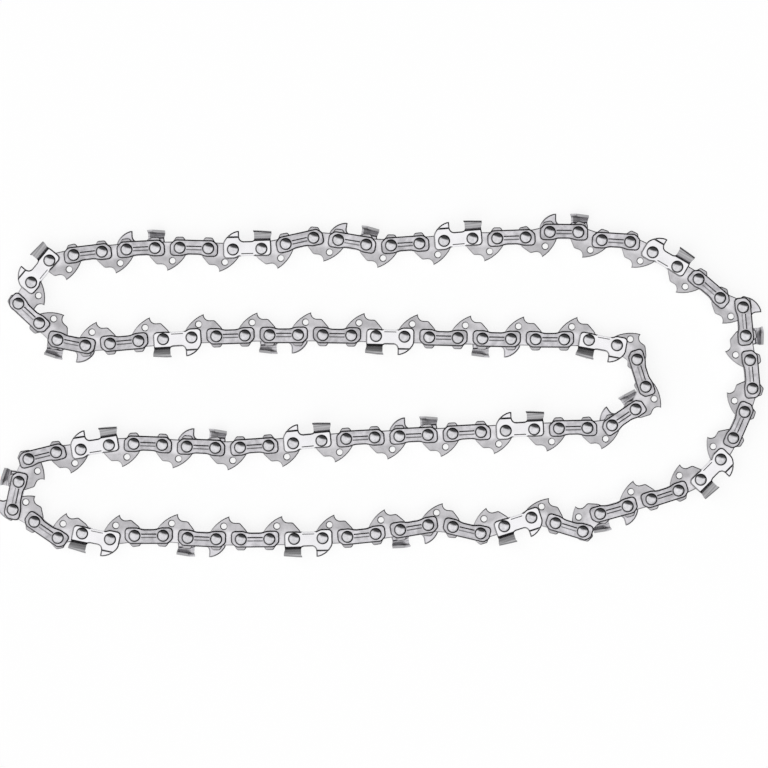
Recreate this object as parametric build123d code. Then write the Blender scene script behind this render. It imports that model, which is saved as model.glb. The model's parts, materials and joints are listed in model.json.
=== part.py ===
from build123d import *

from functools import cache
import math
import os

# Saw chain for a garden chainsaw: a closed loop, laid flat with all its cutters facing out of the run.
# Drive links run along the middle layer. Outer links, a pair of plates riveted through, join them.
# An outer link is two tie straps, or a cutter with a tie strap behind it.
# A link's own frame: x from its leading rivet to its trailing one, y towards the cutting side,
# z from the chain's middle plane towards the viewer. The tangs point to -y, into the guide bar.
# Millimetres. The finished loop lies on z = 0 with the origin under the middle of its footprint.

# Chain
DRIVE_LINK_COUNT = 57
PITCH = 9.32  # half the distance over three rivets
DRIVE_SPAN = 8.66  # rivet to rivet on a drive link
GAUGE = 1.27  # thickness of a drive link, which runs in the bar's groove
PLATE_THICKNESS = 1.15  # tie straps and cutters
SIDE_PLAY = 0.04  # drive link to plate, on each side
SECOND_TIE = 16  # the odd count leaves two plain tie links in a row, and this is the second

# Rivets, fast in the plates and free in the drive links
RIVET_RADIUS = 2.1
RIVET_HEAD = 0.72  # stands over the plate
RIVET_FLAT = 1.25  # radius of the spun flat on top of the head
RIVET_SEAT_PLAY = 0.01
RIVET_PLAY = 0.05  # radial, where a drive link turns on it
RIVET_FLATS = 8  # on the rivets that stay as laid; the turning ones are round

# Drive link
DRIVE_END = 3.0  # past the rivet
DRIVE_END_FLAT = 1.3  # height over the rivet line at which the end leans in to the crown
DRIVE_END_FOOT = 0.4
CROWN_HEIGHT = 3.9  # the hump over each rivet
CROWN_WIDTH = 2.6
SADDLE_HEIGHT = 2.2  # between the two crowns
SADDLE_INSET = 2.4  # from the rivet
TANG_DEPTH = 8.0  # rivet line to tang tip
TANG_TIP_LEAD = 0.2  # tip ahead of the link's middle
TANG_BACK_BULGE = 0.75
HEEL_REACH = 2.2  # trailing end of the tang's back, past the rivet
HEEL_DROP = 2.5
TOE_REACH = 2.0  # leading end of the tang, past the rivet
TOE_DROP = 2.95
HOOK_FLOOR = 5.7  # the step that scoops the groove clean
HOOK_START = 3.9
HOOK_END = 1.9  # where the scoop down to the tip begins
HOOK_BOW = 0.55  # hollow of the scoop
OIL_HOLE_RADIUS = 1.0
OIL_HOLE_TRAIL = 1.7
OIL_HOLE_DROP = 4.5
OIL_HOLE_SIDES = 8

# Tie strap
STRAP_END = 3.5  # past the rivet
STRAP_TOP = 2.7
STRAP_TOP_END = 1.7  # where the top edge turns down, past the rivet
STRAP_SHOULDER = 1.25
STRAP_FOOT = 2.95  # below the rivet line
STRAP_FOOT_CHAMFER = 0.9
STRAP_FOOT_INSET = 0.8  # inner end of the foot, from the rivet
STRAP_WAIST = 2.3
STRAP_WAIST_INSET = 3.0
RIB_PLAY = 0.2  # pressed rib to rivet head, at each end
RIB_WIDTH = 1.5
RIB_HEIGHT = 0.2
RIB_TAPER = 45.0

# Cutter
CUTTER_END = 3.5
CUTTER_SHOULDER = 2.2
CUTTER_LEAD_FOOT = 3.2
CUTTER_TAIL_FOOT = 2.6
CUTTER_WAIST = 2.2
GULLET_HEIGHT = 2.7
GAUGE_HEIGHT = 6.5  # depth gauge over the rivet line
GAUGE_BACK = 2.3  # its steep back, behind the leading rivet
GAUGE_ROOT = 4.2
GAUGE_CREST = 1.5
GAUGE_NOSE_BULGE = 0.8
STEP_FOOT = 4.05  # where the depth gauge's face steps back
STEP_HEAD = 4.65
STEP_DEPTH = 0.45
TOOTH_BASE = 3.2  # where the side plate leaves the cutter's flat
TOOTH_JOG = 0.9  # height of the bend that sets the side plate out
TOOTH_LEAD = 2.65  # base of the tooth's edge, ahead of the trailing rivet
TOOTH_TAIL = 3.3
TOOTH_HEIGHT = 6.65  # top plate over the rivet line, at the cutting edge
TOOTH_FALL = 0.06  # drop towards the tail for each millimetre
TOOTH_HOOK = 0.5  # the cutting corner leans ahead of the base
TOP_PLATE_THICKNESS = 0.95
TOP_PLATE_REACH = 0.5  # inner edge past the chain's middle plane
TOP_PLATE_ANGLE = 30.0  # of the cutting edge, seen from above
SIDE_PLATE_OUT = 3.3  # outermost face, from the middle plane
CORNER_CHAMFER = 0.45  # between side plate and top plate

# The lay of the loop: bends of its course over the surface, from the first cutter's leading rivet.
# The course is stretched evenly until the chain's own length closes it.
COURSE = [
    # upper left lobe, and the outer run along the top
    (-123.0, 35.5), (-117.0, 43.0), (-109.0, 45.0), (-63.0, 47.5), (-35.5, 48.5), (-26.0, 51.0),
    (-7.5, 49.0), (11.5, 49.0), (38.5, 51.0), (48.5, 51.0), (67.5, 53.5), (76.0, 50.5), (85.5, 50.0),
    # right bend
    (102.5, 41.5), (110.0, 37.5), (117.5, 30.5), (126.0, 27.5), (127.5, 17.5), (130.0, -1.0),
    (127.5, -9.0), (112.0, -33.5), (94.5, -40.5), (86.0, -43.0), (76.0, -46.0),
    # outer run along the bottom, kinked at its start
    (70.0, -52.0), (60.0, -48.5), (51.5, -47.0), (33.5, -52.5), (24.0, -50.0), (5.0, -51.5),
    (-40.5, -54.5), (-69.0, -54.0), (-88.0, -53.5), (-96.5, -54.5),
    # lower left lobe
    (-106.5, -52.5), (-115.0, -54.0), (-122.5, -48.0), (-130.0, -43.5), (-127.0, -33.5),
    (-123.5, -26.0), (-113.5, -24.0),
    # lower inner run, inner bend and upper inner run
    (-95.5, -21.5), (-59.0, -22.5), (-21.5, -20.0), (15.5, -18.0), (72.0, -15.5), (81.0, -14.5),
    (92.5, -0.5), (89.0, 9.0), (63.5, 15.5), (-96.0, 14.0), (-114.0, 15.5), (-120.5, 21.5),
    (-127.5, 28.5),
]
COURSE_STEPS = 4000
SCALE_SEARCH = (0.5, 2.0)
CLOSING_ROUNDS = 45

# Stretches of the loop, each from the rivet where it starts to the one where the next begins.
# Links are counted with the rivets: link n runs from rivet n to rivet n + 1, outer links on even n.
STRETCHES = {
    "upper_outer_run": (3, 16),
    "right_bend": (16, 46),
    "lower_outer_run": (46, 57),
    "lower_lobe": (57, 68),
    "lower_inner_run": (68, 79),
    "inner_bend": (79, 97),
    "upper_inner_run": (97, 110),
    "upper_lobe": (110, 117),
}

# Sizes that follow from the ones above
LINK_COUNT = 2 * DRIVE_LINK_COUNT
SIDE_SPAN = 2 * PITCH - DRIVE_SPAN
DRIVE_HALF = DRIVE_SPAN / 2
SIDE_HALF = SIDE_SPAN / 2
PLATE_INNER = GAUGE / 2 + SIDE_PLAY
PLATE_OUTER = PLATE_INNER + PLATE_THICKNESS
RIVET_REACH = PLATE_OUTER + RIVET_HEAD
RIVET_TAPER = math.degrees(math.atan2(RIVET_RADIUS - RIVET_FLAT, RIVET_HEAD))
RIB_LENGTH = 2 * (SIDE_HALF - RIVET_RADIUS - RIB_PLAY)
TURNING_RIVETS = {first % LINK_COUNT for first, last in STRETCHES.values()}


def chord_end(here, near, far, span):
    """Point between near and far, on the straight line, that lies one span from here."""
    run = (far[0] - near[0], far[1] - near[1])
    back = (near[0] - here[0], near[1] - here[1])
    a = run[0] ** 2 + run[1] ** 2
    b = run[0] * back[0] + run[1] * back[1]
    c = back[0] ** 2 + back[1] ** 2 - span ** 2
    share = (math.sqrt(b * b - a * c) - b) / a
    return share, (near[0] + share * run[0], near[1] + share * run[1])


def walk(path, span_scale):
    """Lay the rivets along a closed path by chords; also give the path steps walked."""
    count = len(path)
    spans = (SIDE_SPAN * span_scale, DRIVE_SPAN * span_scale)
    here = path[0]
    rivets = []
    step = 0
    for link in range(LINK_COUNT):
        rivets.append(here)
        span = spans[link % 2]
        while math.dist(here, path[(step + 1) % count]) < span:
            step += 1
        share, here = chord_end(here, path[step % count], path[(step + 1) % count], span)
    return rivets, step + share


def lay_rivets():
    """Places of the rivets on the closed loop."""
    course = Spline(*COURSE, periodic=True)
    path = []
    for step in range(COURSE_STEPS):
        point = course.position_at(step / COURSE_STEPS, position_mode=PositionMode.PARAMETER)
        path.append((point.X, point.Y))
    low, high = SCALE_SEARCH
    for _ in range(CLOSING_ROUNDS):
        span_scale = (low + high) / 2
        rivets, walked = walk(path, span_scale)
        if walked < COURSE_STEPS:
            low = span_scale
        else:
            high = span_scale
    return [(x / span_scale, y / span_scale) for x, y in rivets]


def face_of(*lines):
    """One face inside the closed outline that the lines make."""
    return make_face([edge for line in lines for edge in line.edges()])


def plate(face, low, high, taper=0.0):
    """A flat plate between two heights over the middle plane, with upright or tapering sides."""
    return Pos(0, 0, low) * extrude(face, amount=high - low, dir=(0, 0, 1), taper=taper)


def rivet_section(radius, turning):
    """Section of a rivet, or of its seat in a plate."""
    if turning:
        return Circle(radius)
    return RegularPolygon(radius, RIVET_FLATS, rotation=180 / RIVET_FLATS)


def drive_hole(turning):
    """Hole that a drive link turns in: it clears the rivet's corners at any angle."""
    radius = RIVET_RADIUS + RIVET_PLAY
    if turning:
        return Circle(radius)
    return RegularPolygon(radius, RIVET_FLATS, major_radius=False)


@cache
def drive_link(lead_turning, tail_turning):
    """Centre link with crowns over its rivets and a hooked tang below."""
    tip = (-TANG_TIP_LEAD, -TANG_DEPTH)
    heel = (DRIVE_HALF + HEEL_REACH, -HEEL_DROP)
    end = DRIVE_HALF + DRIVE_END
    crown_near = DRIVE_HALF - CROWN_WIDTH / 2
    crown_far = DRIVE_HALF + CROWN_WIDTH / 2
    saddle = DRIVE_HALF - SADDLE_INSET
    hook_end = (-HOOK_END, -HOOK_FLOOR)
    body = Polyline(
        heel,
        (end, -DRIVE_END_FOOT),
        (end, DRIVE_END_FLAT),
        (crown_far, CROWN_HEIGHT),
        (crown_near, CROWN_HEIGHT),
        (saddle, SADDLE_HEIGHT),
        (-saddle, SADDLE_HEIGHT),
        (-crown_near, CROWN_HEIGHT),
        (-crown_far, CROWN_HEIGHT),
        (-end, DRIVE_END_FLAT),
        (-end, -DRIVE_END_FOOT),
        (-DRIVE_HALF - TOE_REACH, -TOE_DROP),
        (-HOOK_START, -HOOK_FLOOR),
        hook_end,
    )
    scoop = SagittaArc(hook_end, tip, HOOK_BOW)
    back = SagittaArc(tip, heel, -TANG_BACK_BULGE)
    face = face_of(body, scoop, back)
    face -= Pos(-DRIVE_HALF, 0) * drive_hole(lead_turning)
    face -= Pos(DRIVE_HALF, 0) * drive_hole(tail_turning)
    face -= Pos(OIL_HOLE_TRAIL, -OIL_HOLE_DROP) * RegularPolygon(OIL_HOLE_RADIUS, OIL_HOLE_SIDES)
    return plate(face, -GAUGE / 2, GAUGE / 2)


def rivet_seats(lead_turning, tail_turning):
    """The two rivet holes of a plate, as sections."""
    radius = RIVET_RADIUS + RIVET_SEAT_PLAY
    return [
        Pos(-SIDE_HALF, 0) * rivet_section(radius, lead_turning),
        Pos(SIDE_HALF, 0) * rivet_section(radius, tail_turning),
    ]


@cache
def tie_strap(lead_turning, tail_turning):
    """Waisted strap with a straight top and a pressed rib, on the side towards the viewer."""
    end = SIDE_HALF + STRAP_END
    foot_end = end - STRAP_FOOT_CHAMFER
    half = [
        (SIDE_HALF - STRAP_WAIST_INSET, -STRAP_WAIST),
        (SIDE_HALF - STRAP_FOOT_INSET, -STRAP_FOOT),
        (foot_end, -STRAP_FOOT),
        (end, -STRAP_FOOT + STRAP_FOOT_CHAMFER),
        (end, STRAP_SHOULDER),
        (SIDE_HALF + STRAP_TOP_END, STRAP_TOP),
    ]
    other_half = [(-x, y) for x, y in reversed(half)]
    face = Polygon(*half, *other_half, align=None)
    for seat in rivet_seats(lead_turning, tail_turning):
        face -= seat
    rib = Rectangle(RIB_LENGTH, RIB_WIDTH)
    return plate(face, PLATE_INNER, PLATE_OUTER) + plate(rib, PLATE_OUTER, PLATE_OUTER + RIB_HEIGHT, RIB_TAPER)


def tooth():
    """Side plate set out by a bend, and top plate folded over the chain and falling towards the tail."""
    front = SIDE_HALF - TOOTH_LEAD - TOOTH_HOOK
    back = SIDE_HALF + TOOTH_TAIL
    length = back - front
    fall = TOOTH_FALL * length
    jog = TOOTH_BASE + TOOTH_JOG
    under = TOOTH_HEIGHT - TOP_PLATE_THICKNESS
    side_plate_in = SIDE_PLATE_OUT - PLATE_THICKNESS
    bend = Plane.YZ * Polygon(
        (TOOTH_BASE, PLATE_INNER),
        (TOOTH_BASE, PLATE_OUTER),
        (jog, SIDE_PLATE_OUT),
        (jog + fall, SIDE_PLATE_OUT),
        (jog + fall, side_plate_in),
        (jog, side_plate_in),
        align=None,
    )
    fold = Plane.YZ * Polygon(
        (jog + fall, SIDE_PLATE_OUT),
        (TOOTH_HEIGHT - CORNER_CHAMFER, SIDE_PLATE_OUT),
        (TOOTH_HEIGHT, SIDE_PLATE_OUT - CORNER_CHAMFER),
        (TOOTH_HEIGHT, -TOP_PLATE_REACH),
        (under, -TOP_PLATE_REACH),
        (under, side_plate_in),
        (jog + fall, side_plate_in),
        align=None,
    )
    bar = extrude(bend, amount=length, dir=(1, 0, 0))
    bar += extrude(fold, amount=math.hypot(length, fall), dir=(length, -fall, 0))
    bar = Pos(front, 0, 0) * bar
    edge_slope = math.tan(math.radians(TOP_PLATE_ANGLE))
    inner_front = front + edge_slope * (SIDE_PLATE_OUT + TOP_PLATE_REACH)
    above = Plane.XZ * Polygon(
        (front, SIDE_PLATE_OUT),
        (back, SIDE_PLATE_OUT),
        (back, -TOP_PLATE_REACH),
        (inner_front, -TOP_PLATE_REACH),
        align=None,
    )
    side = Polygon(
        (front + TOOTH_HOOK, TOOTH_BASE),
        (front, TOOTH_HEIGHT),
        (back, TOOTH_HEIGHT),
        (back, TOOTH_BASE),
        align=None,
    )
    bar &= extrude(above, amount=TOOTH_HEIGHT, dir=(0, 1, 0))
    return bar & plate(side, -TOP_PLATE_REACH, SIDE_PLATE_OUT)


def gauge_step():
    """What is pressed off the depth gauge's outer face, above a small step."""
    back = PLATE_OUTER - STEP_DEPTH
    section = Plane.YZ * Polygon(
        (STEP_FOOT, PLATE_OUTER),
        (STEP_HEAD, back),
        (GAUGE_HEIGHT, back),
        (GAUGE_HEIGHT, PLATE_OUTER),
        align=None,
    )
    length = CUTTER_END + GAUGE_BACK
    return Pos(-SIDE_HALF - CUTTER_END, 0, 0) * extrude(section, amount=length, dir=(1, 0, 0))


@cache
def cutter(lead_turning, tail_turning):
    """Left-hand cutter on the side towards the viewer: depth gauge, gullet and tooth on one plate."""
    lead, tail = -SIDE_HALF, SIDE_HALF
    gauge_crest = (lead + GAUGE_CREST, GAUGE_HEIGHT)
    nose = (lead - CUTTER_END, CUTTER_SHOULDER)
    gullet_lead = (lead + GAUGE_BACK, GAUGE_ROOT)
    gullet_tail = (tail - TOOTH_LEAD, TOOTH_BASE)
    body = Polyline(
        nose,
        (lead - CUTTER_END, -CUTTER_LEAD_FOOT + STRAP_FOOT_CHAMFER),
        (lead - CUTTER_END + STRAP_FOOT_CHAMFER, -CUTTER_LEAD_FOOT),
        (lead + STRAP_FOOT_INSET, -CUTTER_LEAD_FOOT),
        (lead + STRAP_WAIST_INSET, -CUTTER_WAIST),
        (tail - STRAP_WAIST_INSET, -CUTTER_WAIST),
        (tail - STRAP_FOOT_INSET, -CUTTER_TAIL_FOOT),
        (tail + CUTTER_END - STRAP_FOOT_CHAMFER, -CUTTER_TAIL_FOOT),
        (tail + CUTTER_END, -CUTTER_TAIL_FOOT + STRAP_FOOT_CHAMFER),
        (tail + CUTTER_END, CUTTER_SHOULDER),
        (tail + TOOTH_TAIL, TOOTH_BASE),
        gullet_tail,
    )
    gullet = ThreePointArc(gullet_tail, (0, GULLET_HEIGHT), gullet_lead)
    gauge_back = Polyline(gullet_lead, (lead + GAUGE_BACK, GAUGE_HEIGHT), gauge_crest)
    gauge_nose = SagittaArc(gauge_crest, nose, -GAUGE_NOSE_BULGE)
    face = face_of(body, gullet, gauge_back, gauge_nose)
    for seat in rivet_seats(lead_turning, tail_turning):
        face -= seat
    return plate(face, PLATE_INNER, PLATE_OUTER) - gauge_step() + tooth()


@cache
def rivet(turning):
    """Rivet through both plates, with a spun head on each."""
    section = rivet_section(RIVET_RADIUS, turning)
    head = plate(section, PLATE_OUTER, RIVET_REACH, RIVET_TAPER)
    return plate(section, -PLATE_OUTER, PLATE_OUTER) + head + mirror(head, about=Plane.XY)


@cache
def far_tie_strap(lead_turning, tail_turning):
    """Tie strap on the side away from the viewer."""
    return mirror(tie_strap(lead_turning, tail_turning), about=Plane.XY)


@cache
def far_cutter(lead_turning, tail_turning):
    """Right-hand cutter, on the side away from the viewer."""
    return mirror(cutter(lead_turning, tail_turning), about=Plane.XY)


LEFT_CUTTER_LINK = [("left_cutters", cutter), ("tie_straps", far_tie_strap)]
RIGHT_CUTTER_LINK = [("tie_straps", tie_strap), ("right_cutters", far_cutter)]
TIE_LINK = [("tie_straps", tie_strap), ("tie_straps", far_tie_strap)]
SEQUENCE = [LEFT_CUTTER_LINK, TIE_LINK, RIGHT_CUTTER_LINK, TIE_LINK]


def outer_plates(link):
    """Kind and shape of the two plates of an outer link."""
    place = link // 2
    if place >= SECOND_TIE:
        place -= 1
    return SEQUENCE[place % len(SEQUENCE)]


def link_place(rivets, link):
    """Where a link lies: between its two rivets, turned along them."""
    lead = rivets[link % LINK_COUNT]
    tail = rivets[(link + 1) % LINK_COUNT]
    middle = ((lead[0] + tail[0]) / 2, (lead[1] + tail[1]) / 2)
    heading = math.degrees(math.atan2(tail[1] - lead[1], tail[0] - lead[0]))
    return Pos(*middle) * Rot(0, 0, heading)


def stretch_nodes(rivets, first, last):
    """The pieces of one stretch of the loop, by kind."""
    pieces = {}
    for link in range(first, last):
        place = link_place(rivets, link)
        turning = [(link + end) % LINK_COUNT in TURNING_RIVETS for end in (0, 1)]
        if link % 2:
            pieces.setdefault("drive_links", []).append(place * drive_link(*turning))
            continue
        for kind, make in outer_plates(link % LINK_COUNT):
            pieces.setdefault(kind, []).append(place * make(*turning))
        for end in (-SIDE_HALF, SIDE_HALF):
            turns = turning[end > 0]
            pieces.setdefault("rivets", []).append(place * Pos(end, 0) * rivet(turns))
    return pieces


rivets = lay_rivets()
nodes = {}
for stretch, (first, last) in STRETCHES.items():
    for kind, pieces in stretch_nodes(rivets, first, last).items():
        nodes[f"{stretch}_{kind}"] = Compound(pieces)
whole = Compound(list(nodes.values())).bounding_box()
to_frame = Pos(-whole.center().X, -whole.center().Y, -whole.min.Z)
os.makedirs("parts", exist_ok=True)
for name, node in nodes.items():
    export_step(to_frame * node, f"parts/{name}.step")
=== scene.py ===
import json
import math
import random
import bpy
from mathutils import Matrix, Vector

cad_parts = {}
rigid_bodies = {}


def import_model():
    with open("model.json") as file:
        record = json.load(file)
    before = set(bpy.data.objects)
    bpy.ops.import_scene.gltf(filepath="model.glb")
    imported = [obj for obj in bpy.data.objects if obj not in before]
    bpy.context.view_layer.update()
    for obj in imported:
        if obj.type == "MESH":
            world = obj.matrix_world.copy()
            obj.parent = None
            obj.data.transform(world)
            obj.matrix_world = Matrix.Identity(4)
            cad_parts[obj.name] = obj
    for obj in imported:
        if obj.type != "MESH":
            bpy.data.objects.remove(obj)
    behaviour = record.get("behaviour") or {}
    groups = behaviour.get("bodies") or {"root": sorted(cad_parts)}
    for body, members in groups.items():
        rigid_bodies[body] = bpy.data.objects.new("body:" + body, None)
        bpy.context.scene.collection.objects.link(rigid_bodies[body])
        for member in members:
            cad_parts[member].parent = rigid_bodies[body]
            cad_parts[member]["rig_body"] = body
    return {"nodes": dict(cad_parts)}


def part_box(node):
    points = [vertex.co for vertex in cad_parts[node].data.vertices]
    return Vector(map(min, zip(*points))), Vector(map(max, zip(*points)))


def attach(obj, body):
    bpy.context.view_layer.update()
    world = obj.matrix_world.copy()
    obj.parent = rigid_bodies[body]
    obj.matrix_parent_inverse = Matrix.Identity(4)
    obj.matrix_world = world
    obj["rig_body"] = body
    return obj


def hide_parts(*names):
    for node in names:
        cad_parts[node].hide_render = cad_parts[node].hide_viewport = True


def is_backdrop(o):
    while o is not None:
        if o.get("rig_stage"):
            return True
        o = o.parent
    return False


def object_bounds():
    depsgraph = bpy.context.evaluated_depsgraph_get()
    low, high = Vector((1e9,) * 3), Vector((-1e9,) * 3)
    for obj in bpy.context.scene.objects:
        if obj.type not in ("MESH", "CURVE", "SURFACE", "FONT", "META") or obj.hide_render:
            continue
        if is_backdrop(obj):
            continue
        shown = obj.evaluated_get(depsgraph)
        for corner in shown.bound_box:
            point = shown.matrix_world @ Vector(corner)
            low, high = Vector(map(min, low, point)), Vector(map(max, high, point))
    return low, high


bl_info = {
    "name": "Saw chain loop",
    "version": (1, 0, 0),
    "blender": (4, 5, 0),
    "location": "3D View > Sidebar > Saw chain",
    "description": "Dresses a laid saw chain: drive links, tie straps, cutters, rivets and a studio stage",
    "category": "Add Mesh",
}

from types import SimpleNamespace

import bmesh
import bpy
from bpy.props import FloatProperty, FloatVectorProperty, PointerProperty
from mathutils import Matrix, Vector

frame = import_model()
CAD_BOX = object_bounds()

# A link's own frame, in millimetres: x from its leading rivet to its trailing one,
# y towards the cutting side, z from the chain's middle plane towards the viewer.
MM = 0.001
UP = Vector((0.0, 0.0, 1.0))
LINK_MAP = "link_map"  # UV map: place on the link, 100 mm to a unit
TONE = "tone"  # face attribute: how much lighter or darker one piece is than the next
EDGE = "edge"  # face attribute: how much painted shade darkens a chamfer or slope, 0 on other faces
UV_PER_MM = 0.01
MERGE_DISTANCE = 1e-6  # metres, for the loose triangles of the CAD nodes

# Millimetres within which two places are one
NEAR = 1e-3
CUT_NEAR = 1e-4
CORNER_NEAR = 0.02

# How far a face's normal points along a direction
FLAT = 0.7  # up or down, to count as a plate's face
SQUARE = 0.02  # at most, to count as square to that direction
FACING = 0.9  # to count as facing that way
LEANING = 0.5  # to count as leaning that way
INWARD = 0.1  # to the middle plane, to count as the inside

# Steps of round forms
HOLE_SIDES = 16
ARC_STEPS = 6
CORNER_STEPS = 2
FOLD_STEPS = 4
DOME_RINGS = (1.0, 0.92, 0.8, 0.62, 0.36)  # shares of the rivet's radius
DOME_SIDES = 16
DOME_POWER = 2.0  # of the curve that the dome falls by

# Shading
SHARP_ANGLE = math.radians(33.0)
FLAT_WEIGHT = 90  # how far large faces rule the normals round them
TONE_RANGE = (-1.0, 1.0)  # of the lightness that each copy draws
WHITE = (1.0, 1.0, 1.0, 1.0)

# Painted shade on slopes, as a share of what a chamfer holds
RIB_SHADE = (0.5, 0.5)  # at the foot and the head of a strap's rib
BEAD_SHADE = (0.0, 1.0)  # at the foot and the head of a cutter's bead
WAIST_SHADE = 0.3
DOME_FOOT = 0.8  # share of the rivet's radius from which painted shade darkens the dome

# Marks on the links: how far painted shade and darker patches reach and fade, in millimetres
RING_INSIDE = 0.1  # painted shadow on the rivet's side of its seat
RING_OUTSIDE = 0.02  # and on the plate's side
RING_FADE = 0.08
RING_TONE = 0.13  # share of the light that the painted shadow leaves
STEP_LIT = 0.15  # head of the depth gauge's step, left out of the painted shade
BEND_BELOW = 0.45  # painted shade in the tooth's bend, below its base
BEND_ABOVE = 0.25  # and above it
# fade of the painted shade in the gauge's step and the tooth's bend
PAINTED_SHADE_FADE = 0.1
SHADE_BELOW = 0.2  # shade at the top plate's underside, below it
SHADE_ABOVE = 0.1  # and above it
CROWN_BELOW = 0.3  # the darker crowns begin below the straps' top
TANG_BELOW = 0.4  # the darker tang begins below the straps' feet
TANG_FADE = 1.2
PATCH_FADE = 0.15

# Patterns of the metals
LINE_STRETCH = (0.04, 1.0, 0.0)  # drawn lines are long in x
LINE_FADE = 0.2  # millimetres over which the lines set in
LINE_RANGE = (0.36, 0.62)  # values of the noise that the lines use
NOISE_RANGE = (0.3, 0.7)  # where most values of a noise lie
ROUGH_SPREAD = (1.25, 0.8)  # times the roughness, in the dark and the bright clouds
GRAIN_DEPTH = 0.05 * MM

# Studio: floor, unlit end with a dark skirting, and window
FLOOR_GLOW = 0.8
FLOOR_DIFFUSE = 0.32
FLOOR_SIZE = 4.0
FLOOR_DROP = 0.1 * MM
DARK_SIDE = Vector((0.26, 0.96, 0.02)).normalized()  # towards the unlit end
DARK_EDGE = (77.0, 57.0)  # degrees from that side at which the dark begins and is full
DARK_SHARE = 0.94
SKIRTING = (42.0, 32.0)  # degrees over the horizon at which the skirting begins and is full
SKIRTING_SHARE = (0.91, 0.15)  # how dark it is away from the window and under it
WINDOW_SIDE = Vector((-0.97, -0.26, 0.0))
WINDOW_EDGE = (-0.2, 0.8)  # how far a direction points to the window where its light begins and is full
MIX_A, MIX_B, MIX_RESULT = 6, 7, 2  # sockets of a Mix node for colours

# Photo frame: its middle in the chain's frame and what one pixel covers, in millimetres
PHOTO_PIXELS = 768
PHOTO_MM_PER_PIXEL = 0.3512
PHOTO_CENTRE = (1.42, 0.48)


def linear(hex_colour):
    """Linear colour of an sRGB hex value, by the sRGB curve."""
    channels = [int(hex_colour[i:i + 2], 16) / 255 for i in (1, 3, 5)]
    return tuple(c / 12.92 if c <= 0.04045 else ((c + 0.055) / 1.055) ** 2.4 for c in channels)


def length(name, description, millimetres):
    """A size that the user can change."""
    return FloatProperty(
        name=name, description=description, default=millimetres * MM, min=0.0, precision=5, unit="LENGTH"
    )


def colour(name, description, hex_colour):
    """A colour that the user can change."""
    return FloatVectorProperty(
        name=name, description=description, default=linear(hex_colour), size=3, min=0.0, max=1.0,
        subtype="COLOR",
    )


def in_mm(group):
    """The sizes of a property group in millimetres."""
    names = [p.identifier for p in group.bl_rna.properties if p.type == "FLOAT" and p.unit == "LENGTH"]
    return SimpleNamespace(**{name: getattr(group, name) / MM for name in names})


class PlateSizes(bpy.types.PropertyGroup):
    """What the plates of an outer link share."""

    thickness: length("Thickness", "Plate of a tie strap or a cutter", 1.15)
    side_play: length("Side play", "Gap between a drive link and a plate", 0.04)
    foot_chamfer: length("Foot chamfer", "Lower corners of a plate", 0.9)
    foot_inset: length("Foot inset", "Inner end of a foot, from the rivet", 0.8)
    waist_inset: length("Waist inset", "Where the waist begins, from the rivet", 3.0)
    end_reach: length("End reach", "Plate past the rivet", 3.5)
    corner: length("Corner rounding", "Rounding of the outline's corners", 0.6)
    rim_width: length("Edge chamfer width", "Across the outer face", 0.46)
    rim_depth: length("Edge chamfer depth", "Down the wall", 0.34)
    seat_play: length("Seat play", "Between a rivet and its seat", 0.01)


class DriveLinkSizes(bpy.types.PropertyGroup):
    """Sizes of a drive link."""

    end_reach: length("End reach", "Link past the rivet", 3.0)
    end_flat: length("End flat", "Height at which the end leans in to the crown", 1.3)
    end_foot: length("End foot", "Lower end of the upright end", 0.4)
    crown_height: length("Crown height", "Hump over each rivet", 3.9)
    crown_width: length("Crown width", "Top of the hump", 2.6)
    saddle_height: length("Saddle height", "Edge between the two crowns", 2.2)
    saddle_inset: length("Saddle inset", "Foot of a crown, from the rivet", 2.4)
    tang_depth: length("Tang depth", "Rivet line to tang tip", 8.0)
    tip_lead: length("Tip lead", "Tip ahead of the link's middle", 0.2)
    back_bulge: length("Back bulge", "Bow of the tang's back", 0.75)
    heel_reach: length("Heel reach", "Trailing end of the tang, past the rivet", 2.2)
    heel_drop: length("Heel drop", "Trailing end of the tang, below the rivet", 2.5)
    toe_reach: length("Toe reach", "Leading end of the tang, past the rivet", 2.0)
    toe_drop: length("Toe drop", "Leading end of the tang, below the rivet", 2.95)
    hook_floor: length("Hook floor", "Step that scoops the groove clean", 5.7)
    hook_start: length("Hook start", "Leading end of the step", 3.9)
    hook_end: length("Hook end", "Where the scoop begins", 1.9)
    hook_bow: length("Hook bow", "Hollow of the scoop", 0.55)
    oil_hole_radius: length("Oil hole radius", "Hole through the tang", 1.0)
    oil_hole_trail: length("Oil hole trail", "Hole behind the link's middle", 1.7)
    oil_hole_drop: length("Oil hole drop", "Hole below the rivet line", 4.5)
    hole_play: length("Hole play", "Between a turning rivet and its hole", 0.09)
    corner: length("Corner rounding", "Rounding of the outline's corners", 0.4)
    rim_width: length("Edge chamfer width", "Across the face", 0.32)
    rim_depth: length("Edge chamfer depth", "Down the wall", 0.23)


class TieStrapSizes(bpy.types.PropertyGroup):
    """Sizes of a tie strap."""

    top: length("Top", "Top edge over the rivet line", 2.9)
    top_end: length("Top end", "Where the top edge turns down, past the rivet", 1.7)
    shoulder: length("Shoulder", "Upper end of the upright end", 1.25)
    foot: length("Foot", "Feet below the rivet line", 2.95)
    waist: length("Waist", "Lower edge between the feet", 2.3)
    rib_play: length("Rib play", "Pressed rib to rivet head, at each end", 0.2)
    rib_width: length("Rib width", "Pressed rib over its slopes", 1.6)
    rib_slope: length("Rib slope", "Width of one slope of the rib", 0.44)
    rib_height: length("Rib height", "Rib over the strap's face", 0.34)


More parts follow.
